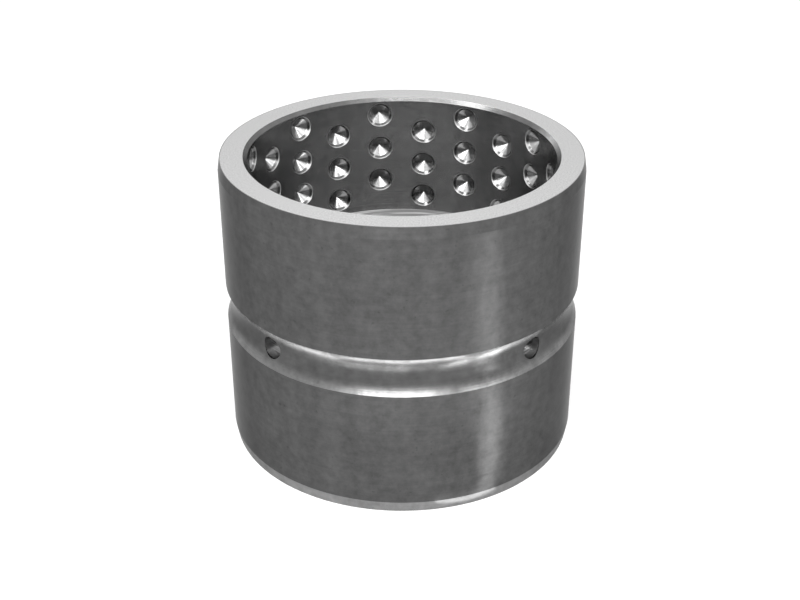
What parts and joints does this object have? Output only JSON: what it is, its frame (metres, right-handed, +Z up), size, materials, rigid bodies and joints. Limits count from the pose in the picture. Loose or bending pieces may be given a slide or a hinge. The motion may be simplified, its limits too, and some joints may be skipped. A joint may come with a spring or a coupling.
{
  "type": "sleeve bearing",
  "caption": "Turned steel sleeve bearing with staggered conical grease pockets in its bore, a grease groove inside and outside, and radial oil holes joining them.",
  "frame": {"origin": "centre of the lower end face, on the bore axis", "axes": "+Z up along the bore axis, -Y towards the viewer of the picture, +X to the right"},
  "size_m": [0.095, 0.095, 0.08],
  "materials": {
    "turned_steel": "fine turned, satin grey, bright on the end faces and cut edges"
  },
  "bodies": {
    "root": {"sleeve": "turned_steel"}
  },
  "joints": []
}
